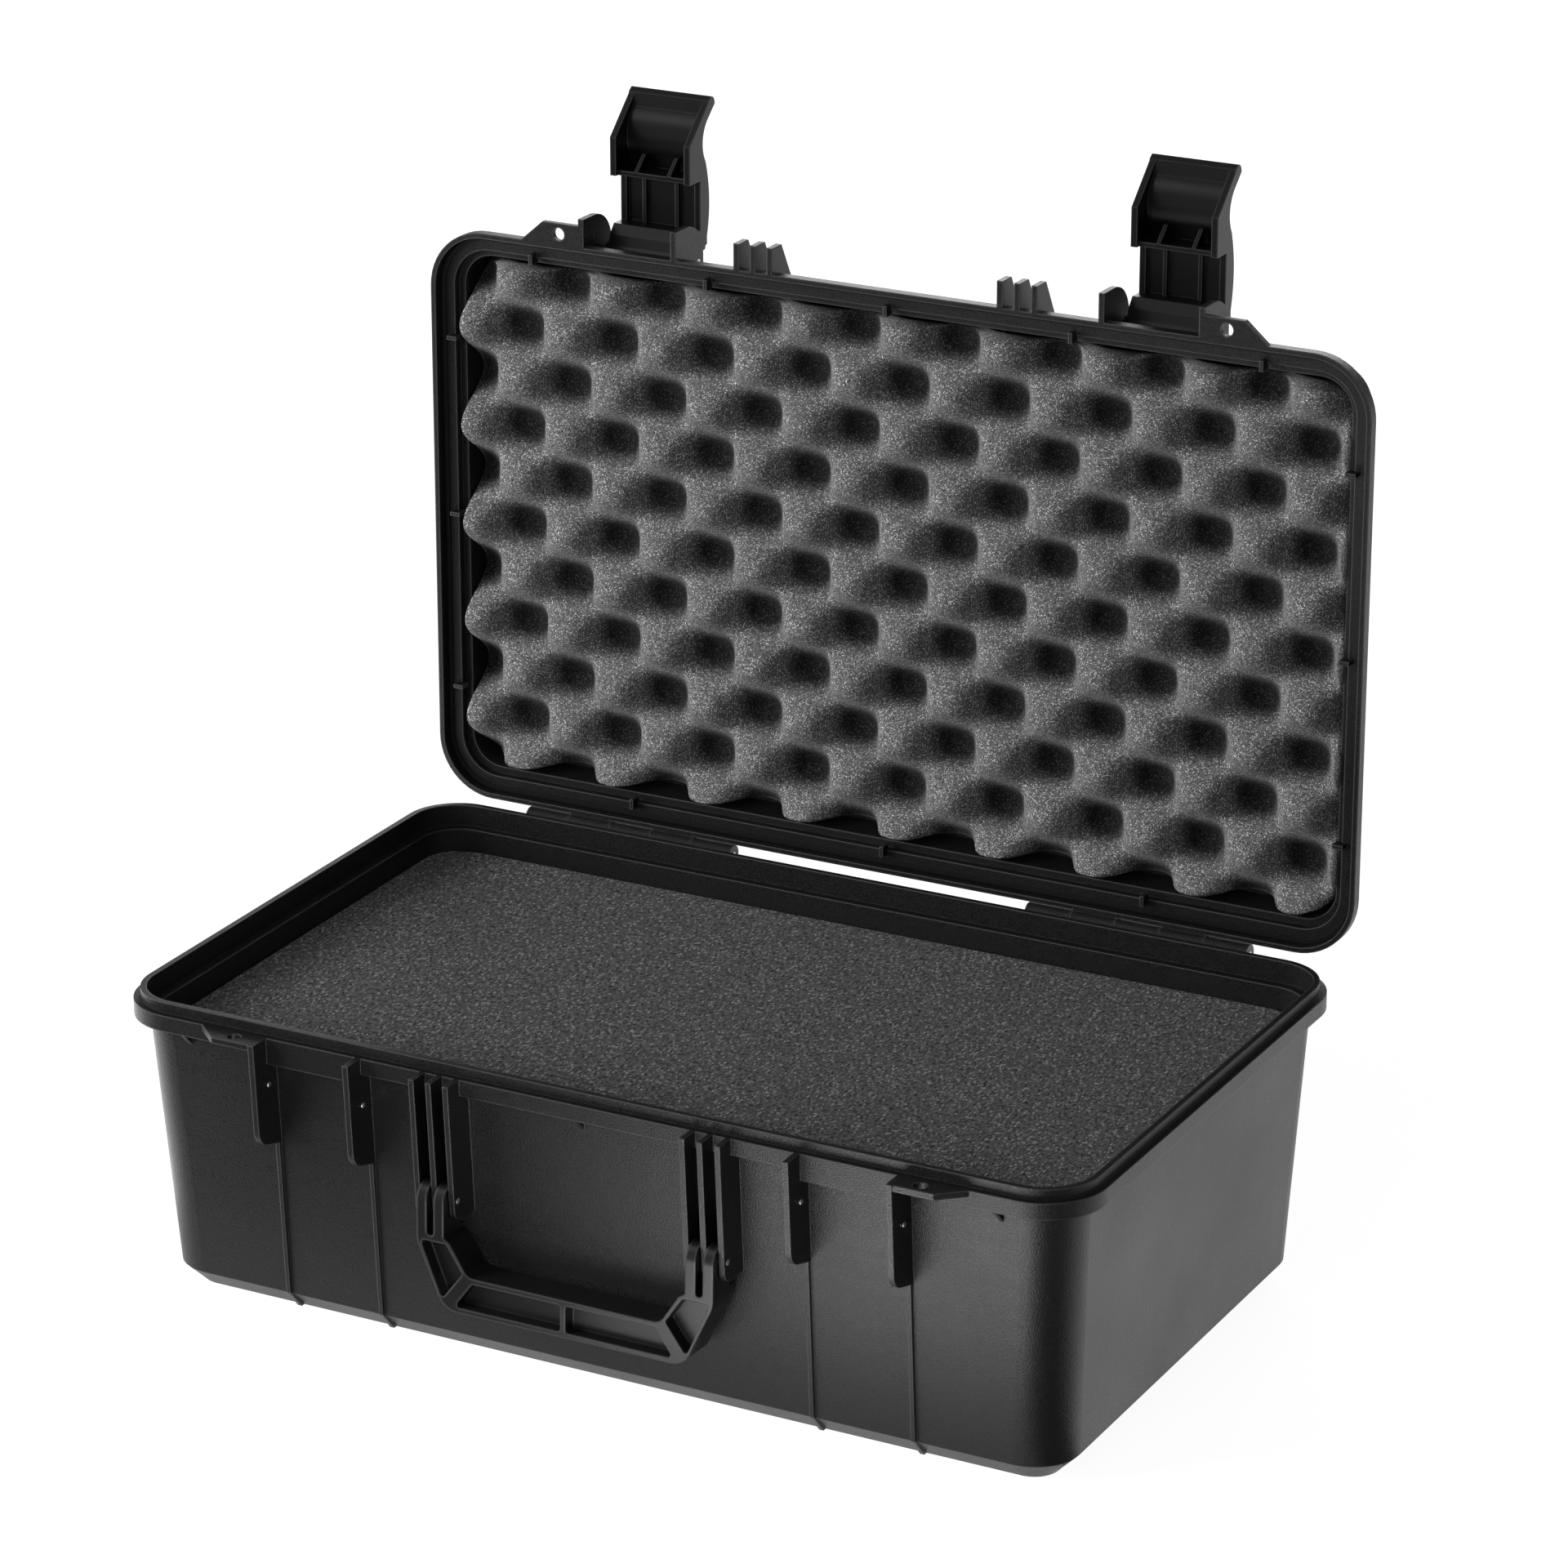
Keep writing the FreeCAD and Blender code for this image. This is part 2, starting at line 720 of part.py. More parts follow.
sketch = new_sketch(lid, "lid_step", "XY_Plane", rim_plane)
inset = size("lid_overhang")
draw_rounded(sketch, half_width - inset, half_depth - inset, size("case_corner") - inset)
pocket(lid, sketch, size("step_depth"), forward=True)

sketch = new_sketch(lid, "lid_cavity", "XY_Plane", rim_plane + size("recess_depth"))
inset = size("lid_overhang") + size("wall_thickness")
draw_rounded(sketch, half_width - inset, half_depth - inset, size("case_corner") - inset)
cavity_depth = size("lid_depth") - size("recess_depth") - size("lid_top_thickness")
pocket(lid, sketch, cavity_depth, forward=True, taper=size("wall_draft"))

tab_level = rim_plane + size("tab_drop")
tab_height = size("recess_depth") - size("tab_drop") + size("tab_root")
tab_half = size("tab_thickness") / 2
tab_outer = size("tab_inset")
tab_inner = size("tab_inset") + size("tab_reach")
for number in (-2, -1, 0, 1, 2):
    sketch = new_sketch(lid, name_of("front_tab", number), "XY_Plane", tab_level)
    middle = size("front_tab_spacing") * number
    draw_rectangle(sketch, middle - tab_half, middle + tab_half,
                   -(half_depth - tab_outer), -(half_depth - tab_inner))
    pad(lid, sketch, tab_height)
for number in (-1, 0, 1):
    sketch = new_sketch(lid, name_of("hinge_tab", number), "XY_Plane", tab_level)
    middle = size("hinge_tab_spacing") * number
    draw_rectangle(sketch, middle - tab_half, middle + tab_half,
                   half_depth - tab_inner, half_depth - tab_outer)
    pad(lid, sketch, tab_height)
for side in SIDES:
    for number in (-1, 0, 1):
        sketch = new_sketch(lid, name_of("side_tab", side, number), "XY_Plane", tab_level)
        middle = size("side_tab_spacing") * number
        draw_rectangle(sketch, (half_width - tab_outer) * side, (half_width - tab_inner) * side,
                       middle - tab_half, middle + tab_half)
        pad(lid, sketch, tab_height)

for side in SIDES:
    start = mirrored_start(side, size("hinge_start") - overshoot, hinge_length + overshoot * 2)
    bore(lid, name_of("lid_hinge_bore", side), start, hinge_length + overshoot * 2,
         hinge_depth, hinge_height, size("hinge_pin_radius") + size("running_gap"))
    ear_span = size("ear_gap") + size("ear_thickness") * 2 + overshoot * 2
    bore(lid, name_of("latch_pin_bore", side), latch_place * side - ear_span / 2, ear_span,
         -pivot_depth, pivot_height, size("latch_pin_radius"))
add_lug_holes(lid, rim_plane)

# Seal strip on the floor of the lid recess
seal = new_body("lid_seal")
seal_level = rim_plane + size("recess_depth") - size("seal_height")
sketch = new_sketch(seal, "seal_outer", "XY_Plane", seal_level)
inset = size("seal_inset")
draw_rounded(sketch, half_width - inset, half_depth - inset, size("case_corner") - inset)
inset = size("seal_inset") + size("seal_width")
draw_rounded(sketch, half_width - inset, half_depth - inset, size("case_corner") - inset)
pad(seal, sketch, size("seal_height"))

# Foam layers in the base
foam_top = base_top - size("foam_drop")
lower_top = foam_top - size("upper_foam_thickness")
pad_top = lower_top - size("lower_foam_thickness")


def foam_layer(label, top, bottom):
    layer = new_body(label)
    above = cavity_outline(layer, label + "_top", top, size("foam_gap"))
    below = cavity_outline(layer, label + "_bottom", bottom, size("foam_gap"))
    loft(layer, label + "_block", above, below)
    return layer


base_foam_upper = foam_layer("base_foam_upper", foam_top, lower_top)
base_foam_lower = foam_layer("base_foam_lower", lower_top, pad_top)
base_floor_pad = foam_layer("base_floor_pad", pad_top, inner_crease)
sketch = cavity_outline(base_floor_pad, "floor_pad_foot", inner_crease, size("foam_gap"))
pad(base_floor_pad, sketch, inner_crease - size("floor_thickness"), down=True, taper=as_size(CHAMFER_ANGLE))

# Egg-crate foam of the lid: arcs across each row, lofted from row to row
foam_half_width = half_width.value - size("lid_foam_side_inset").value
foam_half_depth = half_depth.value - size("lid_foam_end_inset").value
foam_back = lid_top.value - size("lid_top_thickness").value
foam_middle = rim_plane.value + size("lid_foam_middle").value
foam_wave = size("lid_foam_wave").value
wave_width = size("lid_foam_wave_width").value
wave_length = size("lid_foam_wave_length").value
shift_across = size("lid_foam_shift_across").value
shift_along = size("lid_foam_shift_along").value
waves_each_side = math.ceil((foam_half_width + abs(shift_across)) / wave_width + 0.5)
waves_each_way = math.ceil((foam_half_depth + abs(shift_along)) / wave_length)
sheet_left = shift_across - wave_width * (waves_each_side + 0.5)
sheet_right = shift_across + wave_width * (waves_each_side + 0.5)
foam_sections = []
for row in range(-waves_each_way * STEPS_PER_WAVE, waves_each_way * STEPS_PER_WAVE + 1):
    depth = shift_along + wave_length * row / STEPS_PER_WAVE
    swing = foam_wave * math.cos(math.pi * row / STEPS_PER_WAVE)
    edges = []
    for wave in range(-waves_each_side, waves_each_side + 1):
        left = shift_across + wave_width * (wave - 0.5)
        sign = 1 if wave % 2 == 0 else -1
        begin = FreeCAD.Vector(left, depth, foam_middle)
        finish = FreeCAD.Vector(left + wave_width, depth, foam_middle)
        crest = FreeCAD.Vector(left + wave_width / 2, depth, foam_middle + sign * swing)
        if abs(swing) < 0.01:
            edges.append(Part.LineSegment(begin, finish).toShape())
        else:
            edges.append(Part.Arc(begin, crest, finish).toShape())
    low_right = FreeCAD.Vector(sheet_right, depth, foam_middle)
    high_right = FreeCAD.Vector(sheet_right, depth, foam_back)
    high_left = FreeCAD.Vector(sheet_left, depth, foam_back)
    low_left = FreeCAD.Vector(sheet_left, depth, foam_middle)
    edges.append(Part.LineSegment(low_right, high_right).toShape())
    edges.append(Part.LineSegment(high_right, high_left).toShape())
    edges.append(Part.LineSegment(high_left, low_left).toShape())
    foam_sections.append(Part.Wire(edges))
foam_block = Part.makeLoft(foam_sections, True, True)
foam_low = foam_middle - 2 * foam_wave
corner_radius = size("lid_foam_corner").value
trim = Part.makeBox(2 * foam_half_width, 2 * foam_half_depth, foam_back - foam_low,
                    FreeCAD.Vector(-foam_half_width, -foam_half_depth, foam_low))
upright = [edge for edge in trim.Edges if edge.BoundBox.ZLength > foam_wave]
trim = trim.makeFillet(corner_radius, upright)
lid_foam = document.addObject("Part::Feature", "lid_foam")
lid_foam.Label = "lid_foam"
lid_foam.Shape = foam_block.common(trim).Solids[0]

# Pins
pins = []


def new_pin(label, start, length, depth, height, radius):
    body = new_body(label)
    rod(body, label + "_round", start, length, depth, height, radius)
    pins.append(body)
    return body


latch_pins = []
for side, word in ((-1, "left"), (1, "right")):
    start = mirrored_start(side, size("hinge_start"), hinge_length)
    new_pin("hinge_pin_" + word, start, hinge_length, hinge_depth, hinge_height,
            size("hinge_pin_radius"))
    rib_span = size("rib_pitch") * 2 + size("rib_thickness")
    start = size("rib_place") * side - rib_span / 2
    new_pin("handle_pin_" + word, start, rib_span, -handle_pin_depth, handle_pin_height,
            size("handle_pin_radius"))
    ear_span = size("ear_gap") + size("ear_thickness") * 2
    latch_pins.append(new_pin("latch_pin_" + word, latch_place * side - ear_span / 2, ear_span,
                              -pivot_depth, pivot_height, size("latch_pin_radius")))
for side, edge, start in ear_places():
    word = "left" if side < 0 else "right"
    place = "outer" if side == edge else "inner"
    length = size("ear_thickness") + size("ear_pin_stand") * 2
    new_pin("ear_pin_" + word + "_" + place, start - size("ear_pin_stand"), length,
            -ear_pin_depth, ear_pin_height, size("ear_pin_radius"))

# Handle
handle = new_body("handle")
slot_low = handle_pin_height - size("arm_drop")
slot_half = size("rib_thickness") / 2 + size("prong_gap")
arm_top = slot_low + slot_half
arm_outer = size("rib_place") + size("rib_pitch") - size("rib_thickness") / 2 - size("prong_gap")
shoulder = handle_pin_height - size("arm_shoulder")
grip_low = handle_pin_height - size("grip_drop")
grip_high = grip_low + size("grip_height")
handle_front = handle_pin_depth + size("handle_front")
handle_depth = size("handle_front") + size("handle_back")
sketch = new_sketch(handle, "handle_outline", "XZ_Plane", handle_pin_depth - size("handle_back"))
draw_outline(sketch, [
    (-arm_outer, arm_top),
    (-arm_outer, shoulder, "round", size("arm_shoulder_radius")),
    (-size("grip_outer_half"), grip_low, "round", size("grip_outer_radius")),
    (size("grip_outer_half"), grip_low, "round", size("grip_outer_radius")),
    (arm_outer, shoulder, "round", size("arm_shoulder_radius")),
    (arm_outer, arm_top),
    (size("arm_inner"), arm_top),
    (size("arm_inner"), slot_low),
    (size("arm_inner") - size("arm_ledge_width"), slot_low - size("arm_ledge_drop")),
    (size("grip_inner_half"), grip_high, "round", size("grip_inner_radius")),
    (-size("grip_inner_half"), grip_high, "round", size("grip_inner_radius")),
    (-(size("arm_inner") - size("arm_ledge_width")), slot_low - size("arm_ledge_drop")),
    (-size("arm_inner"), slot_low),
    (-size("arm_inner"), arm_top),
])
grip = pad(handle, sketch, handle_depth)
document.recompute()

prong_width = size("rib_pitch") - size("rib_thickness") - size("prong_gap") * 2
for side in SIDES:
    for number in (0, 1):
        place = size("rib_place") + size("rib_pitch") * (number - 1)
        start = place + size("rib_thickness") / 2 + size("prong_gap")
        radius = size("prong_radius")
        plate(handle, name_of("prong", side, number), mirrored_start(side, start, prong_width),
              prong_width, [
                  (-(handle_pin_depth + radius), handle_pin_height, "bow", -radius * 1.0001),
                  (-(handle_pin_depth - radius), handle_pin_height),
                  (-(handle_pin_depth - radius), arm_top - weld),
                  (-(handle_pin_depth + radius), arm_top - weld),
              ])

for side in SIDES:
    sketch = new_sketch(handle, name_of("arm_slot", side), "XZ_Plane", handle_front + overshoot)
    place = size("rib_place") * side
    draw_circle(sketch, place, arm_top, slot_half)
    pocket(handle, sketch, handle_depth + overshoot * 2)

wall = size("grip_wall")
curve = size("grip_pocket_radius")
for face in SIDES:
    level = handle_front if face > 0 else handle_pin_depth - size("handle_back")
    for side in SIDES:
        sketch = new_sketch(handle, name_of("grip_pocket", face, side), "XZ_Plane", level)
        draw_outline(sketch, [
            (wall / 2 * side, grip_low + wall, "round", curve),
            ((size("grip_outer_half") - wall * 2) * side, grip_low + wall, "round", curve),
            ((size("grip_inner_half") - wall) * side, grip_high - wall, "round", curve),
            (wall / 2 * side, grip_high - wall, "round", curve),
        ])
        pocket(handle, sketch, size("grip_pocket"), forward=face < 0)
        sketch = new_sketch(handle, name_of("arm_pocket", face, side), "XZ_Plane", level)
        draw_outline(sketch, [
            ((size("arm_inner") - wall / 2) * side, slot_low - wall, "round", curve),
            ((arm_outer - wall) * side, slot_low - wall, "round", curve),
            ((arm_outer - wall) * side, shoulder - wall / 2),
            ((size("grip_outer_half") + wall / 2) * side, grip_low + wall * 2, "round", curve),
            ((size("grip_inner_half") + wall) * side, grip_high + wall / 2, "round", curve),
        ])
        pocket(handle, sketch, size("grip_pocket"), forward=face < 0)

for side in SIDES:
    rib_span = size("rib_pitch") * 2 + size("rib_thickness")
    bore(handle, name_of("handle_bore", side), size("rib_place") * side - rib_span / 2, rib_span,
         -handle_pin_depth, handle_pin_height, size("handle_pin_radius") + size("running_gap"))

# Latches, drawn on the closed lid and swung straight out from it
keeper_reach = pivot_height - keeper_under
hook = keeper_reach + size("hook_gap")
hook_end = hook + size("hook_thickness")
thumb_start = size("belly_start") + size("belly_length")
nose_start = thumb_start + size("thumb_length")
nose_end = nose_start + size("nose_length")
nose_top = size("nose_rise") + size("nose_height")
skin = size("latch_skin")


def on_latch(out, up, *rest):
    """Corner given by its distance out from the pivot and up from it."""
    return (-(pivot_depth + out), pivot_height + up) + rest


def skin_line(inset):
    """The outer face of the latch moved in, from the foot to the nose."""
    return [
        on_latch(size("belly_start"), size("belly_rise") - inset,
                 "bow", size("belly_radius") - inset),
        on_latch(thumb_start, size("thumb_rise") - inset, "bow", -(size("thumb_radius") + inset)),
        on_latch(nose_start + inset * 0.7, size("nose_rise") - inset * 0.7),
    ]


def skin_line_back(inset):
    """The same line from the nose to the foot."""
    return [
        on_latch(nose_start + inset * 0.7, size("nose_rise") - inset * 0.7,
                 "bow", size("thumb_radius") + inset),
        on_latch(thumb_start, size("thumb_rise") - inset, "bow", -(size("belly_radius") - inset)),
        on_latch(size("belly_start"), size("belly_rise") - inset),
    ]


latches = []
for side, word in ((-1, "left"), (1, "right")):
    latch = new_body("latch_" + word)
    latches.append(latch)
    middle = latch_place * side
    start = middle - size("latch_width") / 2
    nose_tip = nose_end + size("nose_thickness")
    tip_level = nose_top - size("nose_drop")
    plate(latch, "skin_" + word, start, size("latch_width"), skin_line(ZERO) + [
        on_latch(nose_end, nose_top, "bow", size("nose_radius")),
        on_latch(nose_tip, tip_level),
        on_latch(nose_tip - skin * 0.7, tip_level - skin),
    ] + skin_line_back(skin))
    for edge in SIDES:
        inner = size("latch_width") / 2 - size("latch_side")
        place = middle + mirrored_start(edge, inner, size("latch_side"))
        plate(latch, name_of("side_" + word, edge), place, size("latch_side"), [
            on_latch(hook, size("rail_rise")),
            on_latch(hook, size("wall_edge_rise")),
            on_latch(hook + size("wall_edge_length"), size("wall_edge_rise")),
            on_latch(nose_tip - skin / 2, tip_level - skin / 2),
            on_latch(nose_end, nose_top - skin),
        ] + skin_line_back(skin / 2) + [
            on_latch(size("belly_start"), size("rail_rise")),
        ])
        rib_place = middle + size("latch_rib_spacing") / 2 * edge
        rib_start = rib_place - size("latch_rib_thickness") / 2
        plate(latch, name_of("long_rib_" + word, edge), rib_start, size("latch_rib_thickness"), [
            on_latch(size("belly_start") + weld, size("rail_rise")),
            on_latch(hook + weld, size("rail_rise")),
            on_latch(hook + weld, size("panel_rise") + weld),
            on_latch(size("belly_start") + weld, size("panel_rise") + weld),
        ])
        plate(latch, name_of("hook_gusset_" + word, edge), rib_start, size("latch_rib_thickness"), [
            on_latch(hook, size("hook_rise")),
            on_latch(hook_end, size("hook_rise")),
            on_latch(hook_end + size("latch_gusset_length"), size("rail_rise")),
            on_latch(hook_end + size("latch_gusset_length"), size("panel_rise")),
            on_latch(hook, size("panel_rise")),
        ])
    plate(latch, "panel_" + word, start, size("latch_width"), [
        on_latch(size("belly_start") + weld, size("panel_rise")),
        on_latch(hook_end, size("panel_rise")),
        on_latch(hook_end, size("panel_top")),
        on_latch(size("belly_start") + weld, size("panel_top")),
    ])
    plate(latch, "hook_" + word, start, size("latch_width"), [
        on_latch(hook, size("hook_rise")),
        on_latch(hook_end, size("hook_rise")),
        on_latch(hook_end, size("panel_top")),
        on_latch(hook, size("panel_top")),
    ])
    plate(latch, "foot_" + word, start, size("latch_width"), [
        on_latch(ZERO, -size("latch_hub_radius")),
        on_latch(size("foot_front"), -size("wall_edge_rise")),
        on_latch(size("foot_top"), size("foot_nib")),
        on_latch(size("foot_top"), size("belly_rise")),
        on_latch(size("belly_start"), size("belly_rise") - skin / 2),
        on_latch(-size("latch_hub_radius"), ZERO),
    ])
    hub_start = middle - size("latch_hub_width") / 2
    rod(latch, "hub_" + word, hub_start, size("latch_hub_width"),
        -pivot_depth, pivot_height, size("latch_hub_radius"))
    bore(latch, "latch_bore_" + word, hub_start - overshoot, size("latch_hub_width") + overshoot * 2,
         -pivot_depth, pivot_height, size("latch_pin_radius") + size("running_gap"))

document.recompute()

# The lid and all that it carries swing open about the hinge pins
hinge_point = FreeCAD.Vector(0, hinge_depth.value, hinge_height.value)
turn = FreeCAD.Rotation(FreeCAD.Vector(1, 0, 0), -size("lid_open_angle").value)
opened = FreeCAD.Placement(FreeCAD.Vector(0, 0, 0), turn, hinge_point)
for item in [lid, seal, lid_foam] + latches + latch_pins:
    item.Placement = opened

# The handle hangs with its weight below its pins
pin_point_middle = FreeCAD.Vector(0, -handle_pin_depth.value, handle_pin_height.value)
swing = FreeCAD.Rotation(FreeCAD.Vector(1, 0, 0), -size("handle_hang").value)
handle.Placement = FreeCAD.Placement(FreeCAD.Vector(0, 0, 0), swing, pin_point_middle)
document.recompute()

# Check every object, then write one file for each piece
for item in document.Objects:
    if "Invalid" in item.State or "Error" in item.State:
        raise RuntimeError(item.Name + " is not up to date: " + str(item.State))
pieces = [base, lid, seal, lid_foam, base_foam_upper, base_foam_lower, base_floor_pad, handle]
pieces += latches + pins
os.makedirs("parts", exist_ok=True)
for item in pieces:
    shape = item.Shape
    if shape.isNull() or not shape.isValid() or len(shape.Solids) != 1:
        raise RuntimeError(item.Label + " is not one valid solid")
    shape.exportStep("parts/" + item.Label + ".step")
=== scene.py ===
import json
import math

import bmesh
import bpy
from mathutils import Matrix, Vector, noise


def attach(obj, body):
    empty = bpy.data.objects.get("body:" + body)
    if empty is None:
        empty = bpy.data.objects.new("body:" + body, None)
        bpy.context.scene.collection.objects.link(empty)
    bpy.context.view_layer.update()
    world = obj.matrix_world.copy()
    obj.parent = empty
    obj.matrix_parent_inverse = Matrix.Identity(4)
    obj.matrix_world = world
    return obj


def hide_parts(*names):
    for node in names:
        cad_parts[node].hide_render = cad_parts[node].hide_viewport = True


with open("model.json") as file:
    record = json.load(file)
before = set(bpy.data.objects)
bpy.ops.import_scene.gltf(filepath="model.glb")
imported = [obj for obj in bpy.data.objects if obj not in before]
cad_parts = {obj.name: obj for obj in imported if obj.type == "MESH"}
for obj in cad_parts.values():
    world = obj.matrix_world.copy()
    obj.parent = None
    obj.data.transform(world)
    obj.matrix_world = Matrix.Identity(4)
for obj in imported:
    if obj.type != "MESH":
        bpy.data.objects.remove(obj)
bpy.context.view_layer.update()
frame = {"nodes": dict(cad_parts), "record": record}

MM = 0.001

# Places and sizes shared with the part's source, in metres
HINGE_DEPTH = 152.35 * MM
HINGE_HEIGHT = 146.2 * MM
RIM_ABOVE_HINGE = 0.2 * MM
LID_OPEN = math.radians(90.7)
LID_FOAM_HALF_WIDTH = 235 * MM
LID_FOAM_HALF_DEPTH = 129 * MM
LID_FOAM_CORNER = 14 * MM
LID_FOAM_BACK = 28 * MM
LID_FOAM_MIDDLE = 13 * MM
LID_FOAM_WAVE = 11.5 * MM
WAVE_ACROSS = 26.5 * MM
WAVE_ALONG = 25.45 * MM
WAVE_SHIFT_ACROSS = 5.5 * MM
WAVE_SHIFT_ALONG = 4 * MM

# Finer forms of the foam, which only this script has
LID_FOAM_STEP = 2 * MM
WAVE_STEEPNESS = 1.2
BASE_FOAM_STEP = 4 * MM
BASE_FOAM_CORNER = 19 * MM
BASE_FOAM_SOFT = 1.2 * MM
# Inset and drop of the softened top edge at each step down, as shares of BASE_FOAM_SOFT
SOFT_EDGE_SHARES = ((0.4, 0.2), (0.1, 0.6), (0.0, 1.0))
BASE_FOAM_SWELL = 0.15 * MM
SWELLS_PER_METRE = 25
HEIGHT_DIGITS = 4
PIT = "pit_depth"

# Plastic finish: a pair of levels is where an effect begins and where it is complete
PEBBLE_LEVELS = (0.25, 0.75)
PATCHES_PER_METRE = 14.0
PATCH_LEVELS = (0.3, 0.7)
EDGE_SAMPLES = 6
EDGE_LEVELS = (0.95, 0.6)
PLASTIC_SPECULAR = 0.3

# Foam finish
FOAM_TONE_LEVELS = (0.3, 0.7)
# Size and levels of the struts that get painted glints
STRUTS_PER_CELL = 1.1
LIT_STRUT_LEVELS = (0.4, 1.0)
LIT_STRUT_POWER = 1.4
STRUT_REACH = (0.55, 0.25)
# Where the painted shade in the foam's pits begins and where it is complete
PIT_SHADE_LEVELS = (0.44, 0.88)
FOAM_ROUGHNESS = 0.9
FOAM_SPECULAR = 0.1
FOAM_SHEEN = 0.08
FOAM_SHEEN_ROUGHNESS = 0.4

# Studio
FLOOR_HALF_SIZE = 8
FLOOR_PAINT = 0.2
FLOOR_GLOW = 0.95
FLOOR_GLOW_RISE = (0.5, 1.5)
CARD_HEIGHT = 1 * MM
SKY_LIGHT = 0.03
SKY_MIRRORED = 0.35
WHITE = 1.0

# Camera that matches the photograph, for a square frame
FRAME_PIXELS = 1920
FOCAL_PIXELS = 7345.3
SENSOR = 36.0
CAMERA_REACH = 50
CAMERA_PLACE = Vector((1.2471, -2.2668, 1.2398))
CAMERA_AZIMUTH = math.radians(28.246)
CAMERA_ELEVATION = math.radians(20.942)
CAMERA_ROLL = math.radians(-0.326)


def add_object(name, data):
    thing = bpy.data.objects.new(name, data)
    bpy.context.scene.collection.objects.link(thing)
    return thing


def add_camera():
    lens = bpy.data.cameras.new("photo_camera")
    lens.sensor_fit = "HORIZONTAL"
    lens.sensor_width = SENSOR
    lens.lens = SENSOR * FOCAL_PIXELS / FRAME_PIXELS
    lens.clip_end = CAMERA_REACH
    camera = add_object("photo_camera", lens)
    back = Vector((math.sin(CAMERA_AZIMUTH) * math.cos(CAMERA_ELEVATION),
                   -math.cos(CAMERA_AZIMUTH) * math.cos(CAMERA_ELEVATION),
                   math.sin(CAMERA_ELEVATION)))
    right = Vector((math.cos(CAMERA_AZIMUTH), math.sin(CAMERA_AZIMUTH), 0))
    up = back.cross(right)
    turn = Matrix((right, up, back)).transposed() @ Matrix.Rotation(CAMERA_ROLL, 3, "Z")
    camera.matrix_world = Matrix.Translation(CAMERA_PLACE) @ turn.to_4x4()
    bpy.context.scene.camera = camera


# Node helpers
def place(tree, kind, settings=None, **inputs):
    """A node with its settings and inputs; an input may be a value or another node's socket.
    An input is called by its name with underscores for spaces, or by an underscore and its number."""
    node = tree.nodes.new(kind)
    for name, value in (settings or {}).items():
        setattr(node, name, value)
    for name, value in inputs.items():
        key = int(name[1:]) if name[1:].isdigit() else name.replace("_", " ")
        if isinstance(value, bpy.types.NodeSocket):
            tree.links.new(value, node.inputs[key])
        else:
            node.inputs[key].default_value = value
    return node


def place_group(tree, group, **inputs):
    return place(tree, "ShaderNodeGroup", {"node_tree": group}, **inputs)


def new_group(name, inputs, outputs):
    group = bpy.data.node_groups.new(name, "ShaderNodeTree")
    for label, kind, value in inputs:
        socket = group.interface.new_socket(label, in_out="INPUT", socket_type=kind)
        socket.default_value = value
    for label, kind in outputs:
        group.interface.new_socket(label, in_out="OUTPUT", socket_type=kind)
    return group, group.nodes.new("NodeGroupInput"), group.nodes.new("NodeGroupOutput")


def math_node(tree, operation, first, second=0.0):
    node = place(tree, "ShaderNodeMath", {"operation": operation}, _0=first, _1=second)
    return node.outputs[0]


def ramp(tree, value, levels=(0.0, 1.0), results=(0.0, 1.0), smooth=False):
    """A value that runs from the first result to the second between two levels."""
    run = {"interpolation_type": "SMOOTHSTEP" if smooth else "LINEAR"}
    node = place(tree, "ShaderNodeMapRange", run, _0=value, _1=levels[0], _2=levels[1],
                 _3=results[0], _4=results[1])
    return node.outputs[0]


def grey(level):
    return (level, level, level, 1)


def mix_greys(tree, mask, low, high):
    """A colour between two, by a mask; each may be a grey's level or another node's socket."""
    ends = [end if isinstance(end, bpy.types.NodeSocket) else grey(end) for end in (low, high)]
    node = place(tree, "ShaderNodeMix", {"data_type": "RGBA"}, _0=mask, _6=ends[0], _7=ends[1])
    return node.outputs[2]


def object_place(tree):
    return place(tree, "ShaderNodeTexCoord").outputs["Object"]


# Effects that materials share
def pebble_grain_group():
    """Moulded pebble grain: close rounded bumps, and broad faint patches."""
    group, enter, leave = new_group(
        "pebble_grain",
        [("Cell Size", "NodeSocketFloat", 1.0 * MM)],
        [("Height", "NodeSocketFloat"), ("Patch", "NodeSocketFloat")])
    spot = object_place(group)
    scale = math_node(group, "DIVIDE", 1.0, enter.outputs["Cell Size"])
    wrinkles = place(group, "ShaderNodeTexNoise", Vector=spot, Scale=scale, Detail=1.0, Distortion=0.2)
    pebbles = ramp(group, wrinkles.outputs[0], PEBBLE_LEVELS, smooth=True)
    patches = place(group, "ShaderNodeTexNoise", Vector=spot, Scale=PATCHES_PER_METRE, Detail=4.0)
    group.links.new(pebbles, leave.inputs["Height"])
    group.links.new(patches.outputs[0], leave.inputs["Patch"])
    return group


def soft_edges_group():
    """Normals of rounded edges, and a mask of the outer edges, which have little material around them."""
    group, enter, leave = new_group(
        "soft_edges",
        [("Radius", "NodeSocketFloat", 0.6 * MM)],
        [("Normal", "NodeSocketVector"), ("Edge", "NodeSocketFloat")])
    bevel = place(group, "ShaderNodeBevel", {"samples": EDGE_SAMPLES}, Radius=enter.outputs["Radius"])
    body = place(group, "ShaderNodeAmbientOcclusion",
                 {"samples": EDGE_SAMPLES, "inside": True, "only_local": True},
                 Distance=enter.outputs["Radius"])
    mask = ramp(group, body.outputs["AO"], EDGE_LEVELS)
    group.links.new(bevel.outputs[0], leave.inputs["Normal"])
    group.links.new(mask, leave.inputs["Edge"])
    return group


